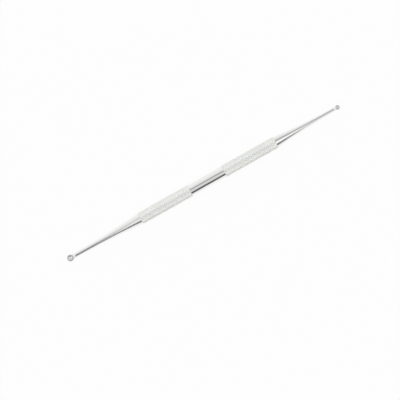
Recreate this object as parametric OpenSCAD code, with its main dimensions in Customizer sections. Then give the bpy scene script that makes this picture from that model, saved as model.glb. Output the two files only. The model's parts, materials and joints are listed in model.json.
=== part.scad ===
// Double-ended nail curette: one slim turned rod of stainless steel with two diamond
// knurled grips, a smooth band between them, two long shanks that taper in a hollow
// curve and a small round cup at each tip. It is one solid piece, in millimetres.
// The axis runs along X with the large cup at -X; both cups open upward, to +Z.
// The origin is on the axis, at the middle of the smooth band.

/* [Handle] */

// Diameter over the crests of the knurled grips
grip_diameter = 5.7; // [5:0.1:8]
// Length of the grip on the side of the large cup
large_side_grip_length = 25.45; // [12:0.05:40]
// Length of the grip on the side of the small cup
small_side_grip_length = 26.5; // [12:0.05:40]
// Length of the smooth band between the grips
band_length = 17.35; // [6:0.05:40]
// How much smaller the band is in diameter than the grips
band_step = 0.5; // [0.1:0.05:1]
// Smallest chamfer where the band and the shanks meet a grip
edge_break = 0.05; // [0.03:0.01:0.1]

/* [Knurling] */

// Number of grooves around the grip in each of the two crossing directions
knurl_starts = 16; // [11:1:23]
// Depth of the grooves below the crests, which end level with the band
knurl_depth = 0.25; // [0.2:0.01:0.36]
// Angle of the grooves to the axis, in degrees
knurl_angle = 31; // [25:1:38]
// Length of the chamfer at each end of a grip
knurl_end_chamfer = 0.25; // [0.15:0.05:0.4]

/* [Shanks] */

// Distance from the grip to the end of the large cup
large_side_reach = 37.65; // [20:0.05:60]
// Distance from the grip to the end of the small cup
small_side_reach = 33.05; // [20:0.05:60]
// How much smaller the thick end of a shank is in diameter than the grips
shank_step = 0.5; // [0.1:0.05:1.6]
// Diameter of the shank next to the large cup
large_neck_diameter = 2.16; // [1.6:0.02:2.4]
// Diameter of the shank next to the small cup
small_neck_diameter = 1.76; // [1.2:0.02:1.84]
// How hollow the taper is: 0 is a straight cone, 1 runs level into the neck
shank_hollow = 1; // [0:0.05:1]
// Length of the flare where a shank runs into its cup
neck_flare = 0.9; // [0.5:0.05:1.5]

/* [Cups] */

// Outer diameter of the large cup
large_cup_diameter = 3.06; // [2.8:0.02:4]
// Outer diameter of the small cup
small_cup_diameter = 2.04; // [2.04:0.02:2.8]
// Thickness of the rim of the large cup
large_cup_rim = 0.24; // [0.14:0.02:0.4]
// Thickness of the rim of the small cup
small_cup_rim = 0.2; // [0.14:0.02:0.3]
// Depth of the hollow of the large cup
large_cup_depth = 1.2; // [0.7:0.05:1.25]
// Depth of the hollow of the small cup
small_cup_depth = 0.75; // [0.4:0.05:0.8]
// Height of the rim above the axis
rim_height = 0.16; // [0:0.02:0.3]
// Slope of the shoulder behind the rim, in degrees
shoulder_slope = 45; // [30:1:60]

/* [Hidden] */

$fn = 96;

steel = [0.78, 0.78, 0.77];

// Handle
crest_radius = grip_diameter / 2;
root_radius = crest_radius - knurl_depth;
sector = 360 / knurl_starts;
// the underside lies on two neighbouring rows of crests
first_groove = -90 + sector / 4;
seat_clearance = 0.01;
// largest radius that still ends inside the flat end of a grip
seat_radius = root_radius * cos(sector / 4) - seat_clearance;
lead_in = 0.5;
band_radius = crest_radius - band_step / 2;
band_end_radius = min(seat_radius, band_radius - edge_break);
band_half = band_length / 2;
shank_radius = crest_radius - shank_step / 2;
shank_end_radius = min(seat_radius, shank_radius - edge_break);
core_radius = min(band_end_radius, shank_end_radius) - 0.3;
large_grip_end = -band_half - large_side_grip_length;
small_grip_end = band_half + small_side_grip_length;

// Cups
large_cup_radius = large_cup_diameter / 2;
small_cup_radius = small_cup_diameter / 2;
large_cup_centre = large_grip_end - large_side_reach + large_cup_radius;
small_cup_centre = small_grip_end + small_side_reach - small_cup_radius;
taper_steps = 12;

function odd(j) = j % 2;

// Radius of a shank, u from 0 at the neck to 1 at the grip
function taper(neck, root, u) =
    neck + (root - neck) * ((1 - shank_hollow) * u + shank_hollow * u * u);

// Outline of a shank from the grip outward, as distances from the middle of the cup
function shank_outline(cup_radius, neck, reach) =
    let (
        start = reach - cup_radius,
        stop = cup_radius * 0.72 + neck_flare
    )
    concat(
        [[start + lead_in, core_radius], [start, shank_end_radius],
            [start - shank_radius + shank_end_radius, shank_radius]],
        [for (k = [taper_steps - 1 : -1 : 0])
            let (u = k / taper_steps)
            [stop + (start - stop) * u, taper(neck, shank_radius, u)]],
        [[cup_radius * 0.62, neck + (cup_radius - neck) * 0.22], [0, neck * 0.4]]
    );

// A closed shell of pointed diamonds over a row of crossing grooves
module knurled_grip(from, length) {
    cells = max(4, round(length * tan(knurl_angle)
        / (2 * PI * crest_radius / knurl_starts)));
    rows = 2 * cells;
    n = knurl_starts;
    step = length / rows;
    end_crest = crest_radius - knurl_depth * knurl_end_chamfer / step;
    function at(x, r, a) =
        [from + x, r * cos(first_groove + a), r * sin(first_groove + a)];
    function wrap(i) = i % n;
    function groove(j, i) = j * n + wrap(i);
    function crest(j, i) = (rows + 1 + j) * n + wrap(i);
    function end_mid(e, i) = (2 * rows + 2 + e) * n + wrap(i);
    grooves = [for (j = [0 : rows], i = [0 : n - 1])
        at(j * step, root_radius, (i + odd(j) / 2) * sector)];
    crests = [for (j = [0 : rows], i = [0 : n - 1])
        at(j == 0 ? knurl_end_chamfer
            : j == rows ? length - knurl_end_chamfer : j * step,
            j == 0 || j == rows ? end_crest : crest_radius,
            (i + 0.5 + odd(j) / 2) * sector)];
    mids = [for (e = [0, 1], i = [0 : n - 1])
        at(e * length, root_radius, (i + 0.5) * sector)];
    sides = [for (j = [0 : rows], i = [0 : n - 1])
        let (
            top = crest(j, i),
            left = j == 0 ? end_mid(0, i) : groove(j - 1, i + odd(j)),
            right = j == rows ? end_mid(1, i) : groove(j + 1, i + odd(j)),
            below = groove(j, i),
            above = groove(j, i + 1)
        )
        each [[top, above, left], [top, right, above],
              [top, below, right], [top, left, below]]];
    first_end = [for (i = [0 : n - 1]) each [groove(0, i), end_mid(0, i)]];
    last_end = [for (i = [n - 1 : -1 : 0]) each [end_mid(1, i), groove(rows, i)]];
    polyhedron(
        points = concat(grooves, crests, mids),
        faces = concat(sides, [first_end, last_end]),
        convexity = 4);
}

// The smooth band, with a core that runs a little way into both grips
module band() {
    chamfer = band_radius - band_end_radius;
    rotate([0, 90, 0])
        rotate_extrude()
            polygon([
                [0, -band_half - lead_in], [core_radius, -band_half - lead_in],
                [band_end_radius, -band_half], [band_radius, -band_half + chamfer],
                [band_radius, band_half - chamfer], [band_end_radius, band_half],
                [core_radius, band_half + lead_in], [0, band_half + lead_in]]);
}

// A shank with its cup, drawn from the middle of the cup toward +X
module shank_and_cup(cup_radius, rim, depth, neck, reach) {
    outline = shank_outline(cup_radius, neck, reach);
    opening = sqrt(cup_radius * cup_radius - rim_height * rim_height) - rim;
    hollow_radius = (opening * opening + depth * depth) / (2 * depth);
    cutter_height = 2 * cup_radius;
    difference() {
        union() {
            rotate([0, 90, 0])
                rotate_extrude()
                    polygon(concat(
                        [[0, outline[0][0]]],
                        [for (p = outline) [p[1], p[0]]],
                        [[0, 0]]));
            sphere(r = cup_radius);
        }
        // flat face of the cup with the sloping shoulder behind it
        translate([0, 0, rim_height])
            cylinder(h = cutter_height, r1 = cup_radius * 1.04,
                r2 = cup_radius * 1.04 + cutter_height / tan(shoulder_slope));
        // hollow of the cup
        translate([0, 0, rim_height + hollow_radius - depth])
            sphere(r = hollow_radius);
    }
}

module curette() {
    color(steel)
        union() {
            band();
            knurled_grip(large_grip_end, large_side_grip_length);
            knurled_grip(band_half, small_side_grip_length);
            translate([large_cup_centre, 0, 0])
                shank_and_cup(large_cup_radius, large_cup_rim, large_cup_depth,
                    large_neck_diameter / 2, large_side_reach);
            translate([small_cup_centre, 0, 0])
                rotate([0, 0, 180])
                    shank_and_cup(small_cup_radius, small_cup_rim, small_cup_depth,
                        small_neck_diameter / 2, small_side_reach);
        }
}

curette();
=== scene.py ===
"""Looks of a double-ended nail curette: the steel piece, its finishes and a white studio stage."""

import json
import math

import bmesh
import bpy
import numpy as np
from bpy.props import (
    FloatProperty,
    FloatVectorProperty,
    IntProperty,
    PointerProperty,
)
from bpy.types import Operator, Panel, PropertyGroup
from mathutils import Matrix, Vector


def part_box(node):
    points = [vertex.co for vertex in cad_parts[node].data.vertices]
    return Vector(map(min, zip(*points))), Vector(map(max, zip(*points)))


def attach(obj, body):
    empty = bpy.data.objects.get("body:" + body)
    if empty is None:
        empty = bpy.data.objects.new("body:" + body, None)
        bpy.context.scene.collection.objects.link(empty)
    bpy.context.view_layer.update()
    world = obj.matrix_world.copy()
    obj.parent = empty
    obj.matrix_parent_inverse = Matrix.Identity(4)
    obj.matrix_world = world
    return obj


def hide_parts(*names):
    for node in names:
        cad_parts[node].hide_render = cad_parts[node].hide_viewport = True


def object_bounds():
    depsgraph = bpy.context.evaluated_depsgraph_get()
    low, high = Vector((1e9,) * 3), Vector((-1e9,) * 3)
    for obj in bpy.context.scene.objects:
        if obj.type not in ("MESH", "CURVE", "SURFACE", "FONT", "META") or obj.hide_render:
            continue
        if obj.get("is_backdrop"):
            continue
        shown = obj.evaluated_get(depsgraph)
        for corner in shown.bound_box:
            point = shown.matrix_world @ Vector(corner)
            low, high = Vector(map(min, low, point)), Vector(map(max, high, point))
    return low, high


bl_info = {
    "name": "Nail curette",
    "version": (1, 0, 0),
    "blender": (4, 5, 0),
    "location": "View3D > Sidebar > Curette",
    "description": "A turned steel nail curette with knurled grips and two small cups",
    "category": "Object",
}

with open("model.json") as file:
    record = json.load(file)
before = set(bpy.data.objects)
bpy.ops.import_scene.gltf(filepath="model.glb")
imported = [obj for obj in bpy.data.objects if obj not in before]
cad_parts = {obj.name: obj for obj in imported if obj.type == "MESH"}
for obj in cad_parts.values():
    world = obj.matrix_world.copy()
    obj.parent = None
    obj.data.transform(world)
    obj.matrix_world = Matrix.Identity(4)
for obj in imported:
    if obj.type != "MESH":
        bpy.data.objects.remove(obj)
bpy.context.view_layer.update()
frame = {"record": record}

NODE = "curette"
BODY = "root"

BAND_MOUNT = next(m for m in frame["record"]["mounts"] if m["name"] == "handle_band")
BAND_RADIUS = BAND_MOUNT["dims"]["r_mm"] / 1000
NODE_LOW, NODE_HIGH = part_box(NODE)

# The photograph is square, and places in it are given in its own pixels.
PHOTO_SIZE = 400
PHOTO_BAND_MIDDLE = (206.95, 181.03)
PHOTO_LENGTH = 312.4
PHOTO_AXIS_ANGLE = math.radians(29.43)
SENSOR_WIDTH = 36.0


def length(name, text, default):
    """A size in metres with the name and help text that a user sees."""
    return FloatProperty(
        name=name,
        description=text,
        default=default,
        min=0.0,
        precision=5,
        subtype="DISTANCE",
        unit="LENGTH",
    )


def tilt(name, text, degrees):
    """An angle with the name and help text that a user sees."""
    return FloatProperty(
        name=name,
        description=text,
        default=math.radians(degrees),
        subtype="ANGLE",
    )


def fraction(name, text, default):
    """A value from 0 to 1 with the name and help text that a user sees."""
    return FloatProperty(
        name=name,
        description=text,
        default=default,
        min=0.0,
        max=1.0,
        subtype="FACTOR",
    )


def colour(name, text, default):
    """A colour with the name and help text that a user sees."""
    return FloatVectorProperty(
        name=name,
        description=text,
        default=default,
        size=3,
        min=0.0,
        max=1.0,
        subtype="COLOR",
    )


class CuretteGripSizes(PropertyGroup):
    """Sizes of the two knurled grips and of the band between them."""

    band_length: length("Band length", "Smooth band between the two grips", 0.01735)
    edge_break: length("Edge break", "Chamfer where band and shanks meet a grip", 0.00005)
    crest_radius: length("Crest radius", "Radius over the knurled crests", 0.00285)
    groove_depth: length("Groove depth", "Depth of the grooves below the crests", 0.00025)
    large_side: length("Large side grip", "Grip on the side of the large cup", 0.02545)
    small_side: length("Small side grip", "Grip on the side of the small cup", 0.0265)
    end_chamfer: length("End chamfer", "Chamfer at each end of a grip", 0.00025)
    starts: IntProperty(
        name="Starts",
        description="Grooves around the grip in each of the two crossing directions",
        default=16,
        min=8,
        max=40,
    )
    groove_angle: tilt("Groove angle", "Angle of the grooves to the axis", 31)


class CuretteShankSizes(PropertyGroup):
    """Sizes of the two tapered shanks."""

    root_radius: length("Root radius", "Radius of a shank at its grip", 0.0026)
    large_neck: length("Large neck", "Radius of the shank at the large cup", 0.00108)
    small_neck: length("Small neck", "Radius of the shank at the small cup", 0.00088)
    flare: length("Neck flare", "Length of the flare into a cup", 0.0009)
    hollow: fraction("Hollow", "How hollow the taper is: 0 is straight, 1 ends level", 1.0)


class CuretteCupSizes(PropertyGroup):
    """Sizes of the two cups."""

    large_radius: length("Large cup", "Outer radius of the large cup", 0.00153)
    small_radius: length("Small cup", "Outer radius of the small cup", 0.00102)
    large_rim: length("Large rim", "Thickness of the rim of the large cup", 0.00024)
    small_rim: length("Small rim", "Thickness of the rim of the small cup", 0.0002)
    large_depth: length("Large depth", "Depth of the hollow of the large cup", 0.0012)
    small_depth: length("Small depth", "Depth of the hollow of the small cup", 0.00075)
    rim_height: length("Rim height", "Height of the rims over the axis", 0.00016)
    edge_round: length("Edge rounding", "Width of the rounding of a rim's edges", 0.00008)
    shoulder_slope: tilt("Shoulder slope", "Slope of the shoulder behind the rim", 45)


class CuretteFinish(PropertyGroup):
    """Colours and polish of the steel. The cup colour also holds painted shade in the hollows."""

    steel: colour("Steel", "Colour of the polished steel", (0.915, 0.92, 0.91))
    knurl: colour("Knurled steel", "Colour of the satin knurling", (0.925, 0.935, 0.905))
    # The cup colour is darker than the polished steel as painted shade in the hollows of the cups
    # and on their rims.
    cup: colour("Cup steel and shade", "Colour of the steel in the hollows", (0.83, 0.85, 0.83))
    polish: fraction("Polish", "Roughness of the polished parts", 0.12)
    hone: fraction("Hone", "Roughness of the hollows", 0.22)
    satin: fraction("Satin", "Roughness of the knurling", 0.38)


class CuretteStage(PropertyGroup):
    """Floor, light and camera."""

    floor_size: length("Floor size", "Side of the square floor", 3.0)
    lens: FloatProperty(
        name="Lens",
        description="Focal length of the camera in millimetres",
        default=100.0,
        min=1.0,
        unit="CAMERA",
    )
    lean: tilt("Lean", "How far the camera leans from straight above, toward the near side", 5)
    shadow: fraction("Shadow", "Share of the floor's own shading that the camera sees", 0.08)


class SteelGrid:
    """A closed mesh grown row by row from one tip of the curette to the other."""

    def __init__(self, columns):
        self.columns = columns
        self.points = []
        self.faces = []
        self.finish = []

    def add(self, rows):
        """Adds rows of points and returns the number of the first point of each."""
        starts = []
        for row in rows:
            starts.append(len(self.points))
            self.points.extend(map(tuple, row))
        return starts

    def face(self, corners, finish):
        """Adds one face with the number of its finish."""
        self.faces.append(corners)
        self.finish.append(finish)

    def join(self, first, second, finish):
        """Joins two rows of equal count with four-sided faces."""
        for i in range(self.columns):
            j = (i + 1) % self.columns
            self.face((first + i, first + j, second + j, second + i), finish)

    def strip(self, rows, finish):
        """Adds rows and joins each to the next. Returns the first and last row."""
        starts = self.add(rows)
        for first, second in zip(starts, starts[1:]):
            self.join(first, second, finish)
        return starts[0], starts[-1]

    def close(self, row, point, finish, at_end):
        """Closes a row with a fan to one point."""
        middle = len(self.points)
        self.points.append(tuple(point))
        for i in range(self.columns):
            j = (i + 1) % self.columns
            corners = (row + i, row + j, middle) if at_end else (row + j, row + i, middle)
            self.face(corners, finish)


POLISHED, KNURLED, CUPPED = 0, 1, 2

# An edge between two faces is crisp from these angles on.
KNURL_SHARP = math.radians(14)
TURNED_SHARP = math.radians(40)

# How many rows of the mesh lie on each part.
HOLLOW_ROWS = 13
RIM_ROWS = 4
SHOULDER_ROWS = 5
BACK_ROWS = 32
SHANK_ROWS = 44
BAND_ROWS = 24

# Shares of a cup's radius: where the flare of its shank begins, where its shoulder starts,
# the fillet at the foot of the shoulder, and how far the cup's rows reach past the shoulder.
FLARE_BEGIN = 0.72
SHOULDER_BEGIN = 1.04
SHOULDER_FILLET = 0.03
TIP_MARGIN = 0.35

# Fillet behind a cup, as a share of the step from the cup down to its neck.
NECK_FILLET = 1.2

# Rows stand beside the rounded edges, at these shares of the rounding's width.
OUTER_EDGE_ROW = 0.6
INNER_EDGE_ROW = 0.2

# The foot of the shoulder stays between these shares of the way from hollow to crest.
FOOT_RANGE = (0.25, 0.75)

# Rounds in which points are brought onto a surface, the share of a cup's radius that they
# step aside to feel its slope, and the least slopes that a step is divided by.
SETTLE_ROUNDS = 8
CREST_ROUNDS = 24
REACH_ROUNDS = 10
FEELER = 1e-3
LEAST_SLOPE_SQUARED = 0.05
LEAST_REACH_SLOPE = 0.2

# How far the rows behind a cup dip below the straight way, and how they crowd at its rim.
BACK_DIP = 0.25
BACK_CROWDING = 1.25


def round_rows(stations, angles):
    """Rows around the axis for (x, radius) stations."""
    return [
        np.column_stack([np.full_like(angles, x), r * np.cos(angles), r * np.sin(angles)])
        for x, r in stations
    ]


def smooth_least(a, b, width):
    """The smaller of two distances, with a fillet of that width where they meet."""
    blend = np.clip(width - np.abs(a - b), 0, None) / width
    return np.minimum(a, b) - blend * blend * width / 4


def smooth_most(a, b, width):
    """The larger of two distances, with a fillet of that width where they meet."""
    return -smooth_least(-a, -b, width)


class Tip:
    """One end of the curette, in its own frame: the cup at the origin, the shank toward +X."""

    def __init__(self, radius, rim, depth, neck, reach, edge_break, shank, cups):
        self.radius = radius
        self.neck = neck
        self.root = shank.root_radius
        self.hollow = shank.hollow
        self.height = cups.rim_height
        self.edge = cups.edge_round
        self.slope = cups.shoulder_slope
        self.edge_break = edge_break
        self.start = reach - radius
        self.stop = radius * FLARE_BEGIN + shank.flare
        self.rim_radius = math.sqrt(radius**2 - self.height**2)
        self.opening = self.rim_radius - rim
        self.bowl_radius = (self.opening**2 + depth**2) / (2 * depth)
        self.bowl_middle = self.height + self.bowl_radius - depth
        self.shoulder_start = radius * SHOULDER_BEGIN
        self.shoulder_end = self.shoulder_start + (neck - self.height) / math.tan(self.slope)

    def taper(self, x):
        """Radius of the shank at a distance from the middle of the cup."""
        u = np.clip((x - self.stop) / (self.start - self.stop), 0, 1)
        return self.neck + (self.root - self.neck) * (
            (1 - self.hollow) * u + self.hollow * u * u
        )

    def body(self, p):
        """Distance from the ball of the cup with its shank, before the cup is cut."""
        ball = np.linalg.norm(p, axis=-1) - self.radius
        around = np.hypot(p[..., 1], p[..., 2])
        rod = np.maximum(around - self.taper(p[..., 0]), -p[..., 0])
        return smooth_least(ball, rod, NECK_FILLET * (self.radius - self.neck))

    def cut(self, p):
        """Distance from the space over the flat of the cup and over its shoulder."""
        out = np.hypot(p[..., 0], p[..., 1]) - self.shoulder_start
        over = p[..., 2] - self.height
        cone = out * math.sin(self.slope) - over * math.cos(self.slope)
        return smooth_most(-over, cone, SHOULDER_FILLET * self.radius)

    def distance(self, p):
        """Distance of points from the steel's surface, negative inside."""
        steel = smooth_most(self.body(p), -self.cut(p), self.edge)
        bowl = np.linalg.norm(p - [0, 0, self.bowl_middle], axis=-1) - self.bowl_radius
        return smooth_most(steel, -bowl, self.edge)

    def settle(self, points, surface, rounds=SETTLE_ROUNDS):
        """Moves points along the slope of a distance until they lie on its surface."""
        step = self.radius * FEELER
        p = np.array(points, float)
        for _ in range(rounds):
            d = surface(p)
            slope = np.stack(
                [(surface(p + step * e) - surface(p - step * e)) / (2 * step) for e in np.eye(3)],
                axis=-1,
            )
            size = np.maximum((slope**2).sum(-1), LEAST_SLOPE_SQUARED)
            p -= (d / size)[..., None] * slope
        return p

    def directions(self, angles):
        """Sideways directions from the middle of the cup, one for each column.

        Columns that lie above the flat on the shank start where the shoulder begins, and
        the others are spread over the rest of the rim."""
        quarter = math.pi / 2
        parting = math.asin(self.height / self.neck)
        corner = math.acos(self.neck * math.cos(parting) / self.rim_radius)
        up = np.arcsin(np.sin(angles))
        turned = np.where(
            up < parting,
            -quarter + (up + quarter) * (corner + quarter) / (parting + quarter),
            corner + (up - parting) * (quarter - corner) / (quarter - parting),
        )
        side = np.where(np.cos(angles) < 0, -1.0, 1.0)
        return np.column_stack([np.sin(turned), side * np.cos(turned)])

    def crest(self, angles):
        """The edge where the flat of the cup and its shoulder meet the outside."""
        level = np.full_like(angles, self.height)
        flat = np.column_stack([self.rim_radius * self.directions(angles), level])
        y, z = self.neck * np.cos(angles), self.neck * np.sin(angles)
        out = self.shoulder_start + (z - self.height) / math.tan(self.slope)
        x = np.sqrt(np.clip(out**2 - y**2, 0, None))
        points = np.where((z > self.height)[:, None], np.column_stack([x, y, z]), flat)
        for _ in range(CREST_ROUNDS):
            points = self.settle(points, self.body, 1)
            points = self.settle(points, self.cut, 1)
        return points

    def hollow_rows(self, angles):
        """Rows from the middle of the hollow out to its edge."""
        way = self.directions(angles)
        whole = math.acos((self.bowl_middle - self.height) / self.bowl_radius)
        edge = self.edge / self.bowl_radius
        last = whole - OUTER_EDGE_ROW * edge
        turns = [last * k / HOLLOW_ROWS for k in range(1, HOLLOW_ROWS + 1)]
        rows = []
        for turn in turns + [whole - INNER_EDGE_ROW * edge, whole]:
            out = self.bowl_radius * math.sin(turn)
            z = self.bowl_middle - self.bowl_radius * math.cos(turn)
            rows.append(np.column_stack([out * way, np.full_like(angles, z)]))
        return rows

    def flat_rows(self, angles, crest):
        """Rows from the edge of the hollow over the rim and the shoulder to the crest."""
        start = self.opening * self.directions(angles)
        way = crest[:, :2] - start
        size = np.linalg.norm(way, axis=1)
        near = OUTER_EDGE_ROW * self.edge / size
        far = 1 - near
        ahead = (start * way).sum(1)
        spread = ahead**2 - size**2 * (self.opening**2 - self.shoulder_start**2)
        foot = (np.sqrt(np.clip(spread, 0, None)) - ahead) / size**2
        low, high = (near + part * (far - near) for part in FOOT_RANGE)
        foot = np.clip(foot, low, high)
        shares = [near + (foot - near) * k / RIM_ROWS for k in range(RIM_ROWS)]
        shares += [foot + (far - foot) * k / SHOULDER_ROWS for k in range(SHOULDER_ROWS + 1)]
        shares += [1 - INNER_EDGE_ROW * self.edge / size, np.ones_like(size)]
        rows = []
        for share in shares:
            place = start + share[:, None] * way
            out = np.linalg.norm(place, axis=1) - self.shoulder_start
            z = self.height + np.clip(out, 0, None) * math.tan(self.slope)
            rows.append(np.column_stack([place, z]))
        return rows

    def outer_rows(self, angles, crest, end):
        """Rows from the crest round the back of the cup, and up to the round shank."""
        r = float(self.taper(np.array(end)))
        neck = np.column_stack([np.full_like(angles, end), r * np.cos(angles), r * np.sin(angles)])
        crest_size = np.linalg.norm(crest, axis=1, keepdims=True)
        neck_size = np.linalg.norm(neck, axis=1, keepdims=True)
        first, last = crest / crest_size, neck / neck_size
        turn = np.arccos(np.clip((first * last).sum(1, keepdims=True), -1, 1))

        step = self.radius * FEELER
        dip = BACK_DIP * np.clip(1 - np.arcsin(np.sin(angles)) / (math.pi / 4), 0, 1)
        rows = []
        for k in range(1, BACK_ROWS):
            t = (k / BACK_ROWS) ** BACK_CROWDING
            way = (np.sin((1 - t) * turn) * first + np.sin(t * turn) * last) / np.sin(turn)
            way[:, 2] -= dip * math.sqrt(t) * (1 - t) ** 2
            way /= np.linalg.norm(way, axis=1, keepdims=True)
            across = np.maximum(np.linalg.norm(way[:, 1:], axis=1, keepdims=True), 1e-6)
            rod = np.minimum(r / across, neck_size) * (way[:, :1] > 0)
            reach = np.maximum(self.radius, rod)
            for _ in range(REACH_ROUNDS):
                d = self.body(way * reach)[:, None]
                slope = (self.body(way * (reach + step))[:, None] - d) / step
                reach = reach - d / np.maximum(slope, LEAST_REACH_SLOPE)
            rows.append(way * reach)
        return rows

    def rows(self, angles):
        """The pole of the hollow, the rows of the hollow, and the rows from there to the grip."""
        end = self.shoulder_end + TIP_MARGIN * self.radius
        crest = self.crest(angles)
        hollow = self.hollow_rows(angles)
        rest = self.flat_rows(angles, crest) + self.outer_rows(angles, crest, end)
        settled = list(self.settle(np.array(hollow + rest), self.distance))
        places = np.linspace(end, self.start - self.edge_break, SHANK_ROWS)
        stations = [(x, float(self.taper(np.array(x)))) for x in places]
        stations.append((self.start, stations[-1][1] - self.edge_break))
        shank = round_rows(stations, angles)
        lowest = np.array([[0, 0, self.bowl_middle - self.bowl_radius]])
        pole = self.settle(lowest, self.distance)[0]
        return pole, settled[: len(hollow)], settled[len(hollow) :] + shank


# Where the lines of the mesh cross one diamond, as shares of the groove spacing, and how
# high the steel stands there, as shares of the groove depth.
DIAMOND_LINES = (0.0, 0.06, 0.24, 0.42, 0.5, 0.58, 0.76, 0.94)
DIAMOND_HEIGHTS = (0.0, 0.1, 0.52, 0.95, 1.0, 0.95, 0.52, 0.1)


def first_groove(grips):
    """Angle at which the grooves start, so that two rows of crests carry the underside."""
    return -math.pi / 2 + math.pi / 2 / grips.starts


def add_grip(grid, grips, start, span):
    """Adds a diamond knurled grip to the grid and returns its first and last row."""
    n = len(DIAMOND_LINES)
    spacing = 2 * math.pi * grips.crest_radius / grips.starts
    cells = max(4, round(span * math.tan(grips.groove_angle) / spacing))
    root = grips.crest_radius - grips.groove_depth
    columns = grips.starts * n
    count = 2 * cells * n
    lines = np.array(DIAMOND_LINES)
    heights = np.array(DIAMOND_HEIGHTS)
    rows = []
    for k in range(count + 1):
        column = np.arange(columns)
        rising = column + (k + 1) // 2
        falling = column - k // 2
        one = rising // n + lines[rising % n]
        other = falling // n + lines[falling % n]
        x = (one - other) / 2 * span / cells
        angle = first_groove(grips) + (one + other) * math.pi / grips.starts
        height = np.minimum(heights[rising % n], heights[falling % n]) * grips.groove_depth
        edge = np.clip(np.minimum(x, span - x) / grips.end_chamfer, 0, 1)
        r = root + np.minimum(height, edge * grips.groove_depth)
        rows.append(np.column_stack([start + x, r * np.cos(angle), r * np.sin(angle)]))
    first = grid.add(rows)
    for k in range(1, count):
        side = k % 2
        for i in range(columns):
            before = first[k - 1] + (i + side) % columns
            after = first[k + 1] + (i + side) % columns
            here, beside = first[k] + i, first[k] + (i + 1) % columns
            one, other = (i + (k + 1) // 2) % n, (i - k // 2) % n
            if one == other:
                grid.face((here, before, beside), KNURLED)
                grid.face((here, beside, after), KNURLED)
            elif one + other == n - 1:
                grid.face((here, before, after), KNURLED)
                grid.face((before, beside, after), KNURLED)
            else:
                grid.face((here, before, beside, after), KNURLED)
    for i in range(columns):
        j = (i + 1) % columns
        grid.face((first[0] + i, first[0] + j, first[1] + i), KNURLED)
        grid.face((first[-1] + j, first[-1] + i, first[-2] + i), KNURLED)
    return first[0], first[-1]


def steel_grid(scene):
    """Builds the whole curette as one closed grid."""
    grips, shank, cups = scene.curette_grips, scene.curette_shanks, scene.curette_cups
    half = grips.band_length / 2
    large_end = -half - grips.large_side
    small_end = half + grips.small_side
    columns = grips.starts * len(DIAMOND_LINES)
    angles = first_groove(grips) + np.arange(columns) * 2 * math.pi / columns
    grid = SteelGrid(columns)

    large = Tip(cups.large_radius, cups.large_rim, cups.large_depth, shank.large_neck,
                large_end - NODE_LOW.x, grips.edge_break, shank, cups)
    small = Tip(cups.small_radius, cups.small_rim, cups.small_depth, shank.small_neck,
                NODE_HIGH.x - small_end, grips.edge_break, shank, cups)
    pole, face, rod = large.rows(angles)
    shift = np.array([NODE_LOW.x + cups.large_radius, 0, 0])
    first, rim = grid.strip([row + shift for row in face], CUPPED)
    grid.close(first, pole + shift, CUPPED, at_end=False)
    neck, last = grid.strip([row + shift for row in rod], POLISHED)
    grid.join(rim, neck, POLISHED)

    start, end = add_grip(grid, grips, large_end, grips.large_side)
    grid.join(last, start, KNURLED)

    chamfer = grips.edge_break
    seat = BAND_RADIUS - chamfer
    places = np.linspace(-half + chamfer, half - chamfer, BAND_ROWS)
    stations = [(-half, seat)] + [(x, BAND_RADIUS) for x in places] + [(half, seat)]
    band_start, band_end = grid.strip(round_rows(stations, angles), POLISHED)
    grid.join(end, band_start, POLISHED)

    start, end = add_grip(grid, grips, half, grips.small_side)
    grid.join(band_end, start, POLISHED)

    pole, face, rod = small.rows(angles)
    turn, shift = np.array([-1, 1, 1]), np.array([NODE_HIGH.x - cups.small_radius, 0, 0])
    first, neck = grid.strip([row * turn + shift for row in rod[::-1]], POLISHED)
    grid.join(end, first, KNURLED)
    rim, last = grid.strip([row * turn + shift for row in face[::-1]], CUPPED)
    grid.join(neck, rim, POLISHED)
    grid.close(last, pole * turn + shift, CUPPED, at_end=True)
    return grid


def curette_mesh(scene):
    """Turns the grid into a mesh with smooth turned faces and crisp edges and diamonds."""
    grid = steel_grid(scene)
    mesh = bpy.data.meshes.new("curette_steel")
    mesh.from_pydata(grid.points, [], grid.faces)
    mesh.polygons.foreach_set("material_index", grid.finish)
    mesh.polygons.foreach_set("use_smooth", [True] * len(grid.faces))
    cleaner = bmesh.new()
    cleaner.from_mesh(mesh)
    bmesh.ops.recalc_face_normals(cleaner, faces=cleaner.faces)
    for edge in cleaner.edges:
        knurled = all(face.material_index == KNURLED for face in edge.link_faces)
        limit = KNURL_SHARP if knurled else TURNED_SHARP
        edge.smooth = edge.calc_face_angle(0.0) < limit
    cleaner.to_mesh(mesh)
    cleaner.free()
    return mesh


def noise(tree, place, scale, detail):
    """A noise pattern, looked up by a socket that gives the place."""
    pattern = tree.nodes.new("ShaderNodeTexNoise")
    pattern.inputs["Scale"].default_value = scale
    pattern.inputs["Detail"].default_value = detail
    tree.links.new(place, pattern.inputs["Vector"])
    return pattern.outputs["Fac"]


# Steel is a little darker in patches of a few millimetres, and its roughness is spread
# between two shares of the finish's own by the tool marks, a noise of about this range.
PATCH_TONE = 0.93
PATCH_SCALE = 260.0
MARKS_RANGE = (0.3, 0.7)
ROUGHNESS_SPREAD = (0.75, 1.35)
MARKS_STRENGTH = 0.25


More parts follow.
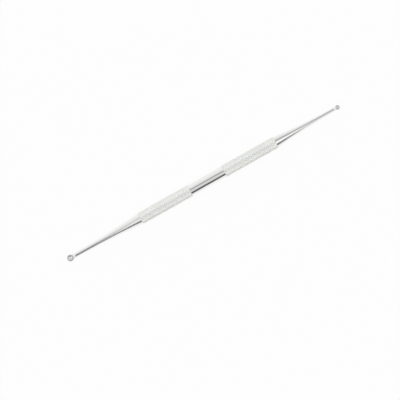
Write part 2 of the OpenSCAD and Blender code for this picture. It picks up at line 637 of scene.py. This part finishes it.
def steel_material(name, base, roughness, marks, marks_depth):
    """Steel with fine tool marks, as many to the metre as given for each direction."""
    material = bpy.data.materials.new(name)
    material.use_nodes = True
    nodes, links = material.node_tree.nodes, material.node_tree.links
    shader = nodes["Principled BSDF"]
    shader.inputs["Metallic"].default_value = 1.0

    place = nodes.new("ShaderNodeTexCoord")
    stretch = nodes.new("ShaderNodeMapping")
    stretch.inputs["Scale"].default_value = marks
    links.new(place.outputs["Object"], stretch.inputs["Vector"])
    scratches = noise(material.node_tree, stretch.outputs["Vector"], 1.0, 4.0)
    patches = noise(material.node_tree, place.outputs["Object"], PATCH_SCALE, 3.0)

    tone = nodes.new("ShaderNodeMix")
    tone.data_type = "RGBA"
    tone.inputs["A"].default_value = (*[c * PATCH_TONE for c in base], 1.0)
    tone.inputs["B"].default_value = (*base, 1.0)
    links.new(patches, tone.inputs["Factor"])
    links.new(tone.outputs["Result"], shader.inputs["Base Color"])

    polish = nodes.new("ShaderNodeMapRange")
    polish.inputs["From Min"].default_value = MARKS_RANGE[0]
    polish.inputs["From Max"].default_value = MARKS_RANGE[1]
    polish.inputs["To Min"].default_value = roughness * ROUGHNESS_SPREAD[0]
    polish.inputs["To Max"].default_value = roughness * ROUGHNESS_SPREAD[1]
    links.new(scratches, polish.inputs["Value"])
    links.new(polish.outputs["Result"], shader.inputs["Roughness"])

    relief = nodes.new("ShaderNodeBump")
    relief.inputs["Strength"].default_value = MARKS_STRENGTH
    relief.inputs["Distance"].default_value = marks_depth
    links.new(scratches, relief.inputs["Height"])
    links.new(relief.outputs["Normal"], shader.inputs["Normal"])
    return material


class CURETTE_OT_steel(Operator):
    """Make the curette: cups, shanks, knurled grips and band in one piece of steel"""

    bl_idname = "curette.steel"
    bl_label = "Make curette"

    def execute(self, context):
        scene = context.scene
        finish = scene.curette_finish
        mesh = curette_mesh(scene)
        for name, base, roughness, marks, marks_depth in (
            ("polished_steel", finish.steel, finish.polish, (9000, 300, 300), 2e-6),
            ("knurled_steel", finish.knurl, finish.satin, (5000, 5000, 5000), 6e-6),
            # The cup steel's darker colour is painted shade in the hollows and on the rims.
            ("cup_steel_and_shade", finish.cup, finish.hone, (2500, 2500, 2500), 2e-6),
        ):
            mesh.materials.append(steel_material(name, base, roughness, marks, marks_depth))
        piece = bpy.data.objects.new("curette_steel", mesh)
        scene.collection.objects.link(piece)
        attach(piece, BODY)
        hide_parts(NODE)
        return {"FINISHED"}


def math_node(tree, operation, *values):
    """A math node fed with sockets or plain numbers."""
    node = tree.nodes.new("ShaderNodeMath")
    node.operation = operation
    for socket, value in zip(node.inputs, values):
        if isinstance(value, bpy.types.NodeSocket):
            tree.links.new(value, socket)
        else:
            socket.default_value = value
    return node.outputs[0]


def ray_share(tree, *kinds):
    """1 for rays of the given kinds, and 0 for all others."""
    path = tree.nodes.new("ShaderNodeLightPath")
    share = path.outputs[kinds[0]]
    for kind in kinds[1:]:
        share = math_node(tree, "MAXIMUM", share, path.outputs[kind])
    return share


def floor_material(shadow):
    """A white floor that keeps part of the object's shadow and shows white in the steel."""
    material = bpy.data.materials.new("white_floor")
    material.use_nodes = True
    tree = material.node_tree
    nodes, links = tree.nodes, tree.links
    shader = nodes["Principled BSDF"]
    shader.inputs["Base Color"].default_value = (1.0, 1.0, 1.0, 1.0)
    shader.inputs["Roughness"].default_value = 0.9
    shader.inputs["Specular IOR Level"].default_value = 0.0
    white = nodes.new("ShaderNodeEmission")
    white.inputs["Strength"].default_value = 1.0
    seen = ray_share(tree, "Is Camera Ray", "Is Glossy Ray", "Is Transmission Ray")
    share = math_node(tree, "MULTIPLY", seen, 1.0 - shadow)
    blend = nodes.new("ShaderNodeMixShader")
    links.new(share, blend.inputs["Fac"])
    links.new(shader.outputs["BSDF"], blend.inputs[1])
    links.new(white.outputs["Emission"], blend.inputs[2])
    links.new(blend.outputs["Shader"], nodes["Material Output"].inputs["Surface"])
    return material


HALF_TURN = 180

# Brightness of the studio around the instrument's axis, by the angle in degrees from
# straight above, positive toward the near side. A list holds from one sideways share of a
# direction on, and comes in smoothly between the two shares that are given with it. The
# first list holds before all others, and SIDE_SHADE is there for the views from the side.
FAR_LARGE_SIDE = (
    (-92, 0.85), (-60, 0.84), (-24, 0.9), (-4, 1.12), (26, 1.1), (46, 0.72),
    (68, 0.64), (84, 0.84), (94, 0.98),
)
LARGE_ROOT = (
    (-92, 0.98), (-60, 0.86), (-22, 0.82), (-12, 0.56), (-3, 0.56), (6, 1.05),
    (38, 1.0), (49, 0.16), (88, 0.2), (98, 1.0),
)
LARGE_TIP = (
    (-92, 1.05), (-55, 0.93), (-24, 0.86), (-12, 0.64), (0, 0.34), (14, 0.19),
    (62, 0.19), (80, 1.0),
)
BAND = (
    (-92, 0.98), (-69, 0.97), (-46, 0.92), (-28, 0.84), (-18, 0.62), (-9, 0.38),
    (-1, 0.38), (8, 0.74), (42, 0.8), (52, 0.1), (93, 0.08), (101, 1.0),
)
SMALL_TIP = (
    (-92, 1.0), (-55, 0.8), (-28, 0.66), (-12, 0.36), (2, 0.38), (14, 0.48),
    (38, 0.66), (62, 1.0),
)
SMALL_ROOT = (
    (-92, 0.95), (-55, 0.8), (-36, 0.62), (-26, 0.4), (-9, 0.4), (0, 0.7),
    (8, 1.2), (35, 1.1), (47, 0.14), (86, 0.16), (97, 1.0),
)
FAR_SMALL_SIDE = (
    (-92, 1.0), (-60, 1.04), (-24, 1.12), (-4, 1.2), (30, 1.2), (48, 1.02),
    (68, 0.98), (94, 1.0),
)
SIDE_SHADE = (
    (-92, 0.62), (-60, 0.72), (-24, 1.0), (30, 1.05), (48, 0.6), (84, 0.5),
    (96, 0.9),
)
STUDIO_LIGHTS = (
    (-0.36, -0.25, LARGE_ROOT),
    (-0.205, -0.165, LARGE_TIP),
    (-0.11, -0.04, BAND),
    (0.04, 0.12, SMALL_TIP),
    (0.19, 0.26, SMALL_ROOT),
    (0.3, 0.4, FAR_SMALL_SIDE),
    (0.52, 0.62, SIDE_SHADE),
    (0.84, 0.94, FAR_SMALL_SIDE),
)


def grey_ramp(tree, degrees, levels):
    """Looks a grey level up by an angle that runs from -180 to 180 degrees."""
    ramp = tree.nodes.new("ShaderNodeValToRGB")
    stops = ramp.color_ramp.elements
    for number, (at, level) in enumerate(levels):
        position = (at + HALF_TURN) / (2 * HALF_TURN)
        stop = stops[number] if number < 2 else stops.new(position)
        stop.position = position
        stop.color = (level, level, level, 1.0)
    scaled = math_node(tree, "MULTIPLY_ADD", degrees, 1 / (2 * HALF_TURN), 0.5)
    tree.links.new(scaled, ramp.inputs["Fac"])
    return ramp.outputs["Color"]


def mix_colour(tree, factor, first, second):
    """Blends two colour sockets."""
    blend = tree.nodes.new("ShaderNodeMix")
    blend.data_type = "RGBA"
    tree.links.new(factor, blend.inputs["Factor"])
    tree.links.new(first, blend.inputs["A"])
    tree.links.new(second, blend.inputs["B"])
    return blend.outputs["Result"]


def studio_world(scene):
    """A white surround with soft lights above, which change along the instrument."""
    world = bpy.data.worlds.new("studio")
    scene.world = world
    world.use_nodes = True
    tree = world.node_tree
    nodes, links = tree.nodes, tree.links
    nodes.clear()
    place = nodes.new("ShaderNodeTexCoord")
    parts = nodes.new("ShaderNodeSeparateXYZ")
    links.new(place.outputs["Generated"], parts.inputs["Vector"])
    near = math_node(tree, "MULTIPLY", parts.outputs["Y"], -1.0)
    angle = math_node(tree, "ARCTAN2", near, parts.outputs["Z"])
    degrees = math_node(tree, "DEGREES", angle)
    level = grey_ramp(tree, degrees, FAR_LARGE_SIDE)
    for begin, full, levels in STUDIO_LIGHTS:
        share = nodes.new("ShaderNodeMapRange")
        share.interpolation_type = "SMOOTHSTEP"
        share.inputs["From Min"].default_value = begin
        share.inputs["From Max"].default_value = full
        links.new(parts.outputs["X"], share.inputs["Value"])
        ramp = grey_ramp(tree, degrees, levels)
        level = mix_colour(tree, share.outputs["Result"], level, ramp)
    surround = nodes.new("ShaderNodeBackground")
    links.new(level, surround.inputs["Color"])
    white = nodes.new("ShaderNodeBackground")
    white.inputs["Color"].default_value = (1.0, 1.0, 1.0, 1.0)
    blend = nodes.new("ShaderNodeMixShader")
    seen = ray_share(tree, "Is Camera Ray", "Is Transmission Ray")
    links.new(seen, blend.inputs["Fac"])
    links.new(surround.outputs["Background"], blend.inputs[1])
    links.new(white.outputs["Background"], blend.inputs[2])
    # Glossy rays keep the studio's lights, which give the steel its dark and bright lines.
    output = nodes.new("ShaderNodeOutputWorld")
    links.new(blend.outputs["Shader"], output.inputs["Surface"])


def photo_camera(scene, stage):
    """A camera at the photograph's angle, with the band where the photograph has it."""
    span = NODE_HIGH.x - NODE_LOW.x
    pixel = span / PHOTO_LENGTH
    distance = pixel * PHOTO_SIZE * stage.lens / SENSOR_WIDTH
    back = Vector((0, -math.sin(stage.lean), math.cos(stage.lean)))
    along = Vector((1, 0, 0))
    over = back.cross(along)
    turn = PHOTO_AXIS_ANGLE
    right = along * math.cos(turn) - over * math.sin(turn)
    up = back.cross(right)
    offset_x = (PHOTO_BAND_MIDDLE[0] - PHOTO_SIZE / 2) * pixel
    offset_y = (PHOTO_SIZE / 2 - PHOTO_BAND_MIDDLE[1]) * pixel
    aim = -right * offset_x - up * offset_y
    data = bpy.data.cameras.new("photo_camera")
    data.lens = stage.lens
    data.sensor_width = SENSOR_WIDTH
    data.clip_start = 0.01
    camera = bpy.data.objects.new("photo_camera", data)
    rotation = Matrix((right, up, back)).transposed().to_4x4()
    camera.matrix_world = Matrix.Translation(aim + back * distance) @ rotation
    scene.collection.objects.link(camera)
    scene.camera = camera


class CURETTE_OT_stage(Operator):
    """Make the white floor, the soft studio light and the camera"""

    bl_idname = "curette.stage"
    bl_label = "Make stage"

    def execute(self, context):
        scene = context.scene
        stage = scene.curette_stage
        half = stage.floor_size / 2
        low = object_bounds()[0][2]
        mesh = bpy.data.meshes.new("floor")
        corners = [(-half, -half, low), (half, -half, low), (half, half, low), (-half, half, low)]
        mesh.from_pydata(corners, [], [(0, 1, 2, 3)])
        mesh.materials.append(floor_material(stage.shadow))
        floor = bpy.data.objects.new("floor", mesh)
        scene.collection.objects.link(floor)
        floor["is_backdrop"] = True
        studio_world(scene)
        photo_camera(scene, stage)
        scene.view_settings.view_transform = "Standard"
        return {"FINISHED"}


class CURETTE_PT_panel(Panel):
    """Sizes, finishes and makers of the nail curette"""

    bl_idname = "CURETTE_PT_panel"
    bl_label = "Nail curette"
    bl_space_type = "VIEW_3D"
    bl_region_type = "UI"
    bl_category = "Curette"

    def draw(self, context):
        layout = self.layout
        for name in GROUPS:
            group = getattr(context.scene, name)
            box = layout.box()
            for key in group.bl_rna.properties.keys():
                if key not in ("rna_type", "name"):
                    box.prop(group, key)
        for operator in OPERATORS:
            layout.operator(operator.bl_idname)


GROUPS = {
    "curette_grips": CuretteGripSizes,
    "curette_shanks": CuretteShankSizes,
    "curette_cups": CuretteCupSizes,
    "curette_finish": CuretteFinish,
    "curette_stage": CuretteStage,
}
OPERATORS = (CURETTE_OT_steel, CURETTE_OT_stage)
CLASSES = (*GROUPS.values(), *OPERATORS, CURETTE_PT_panel)


def register():
    """Makes the sizes, operators and panel known to Blender."""
    for item in CLASSES:
        bpy.utils.register_class(item)
    for name, group in GROUPS.items():
        setattr(bpy.types.Scene, name, PointerProperty(type=group))


def unregister():
    """Takes the sizes, operators and panel out of Blender again."""
    for name in GROUPS:
        delattr(bpy.types.Scene, name)
    for item in reversed(CLASSES):
        bpy.utils.unregister_class(item)


def main():
    """Builds the curette and its stage."""
    register()
    bpy.ops.curette.steel()
    bpy.ops.curette.stage()


if __name__ == "__main__":
    main()
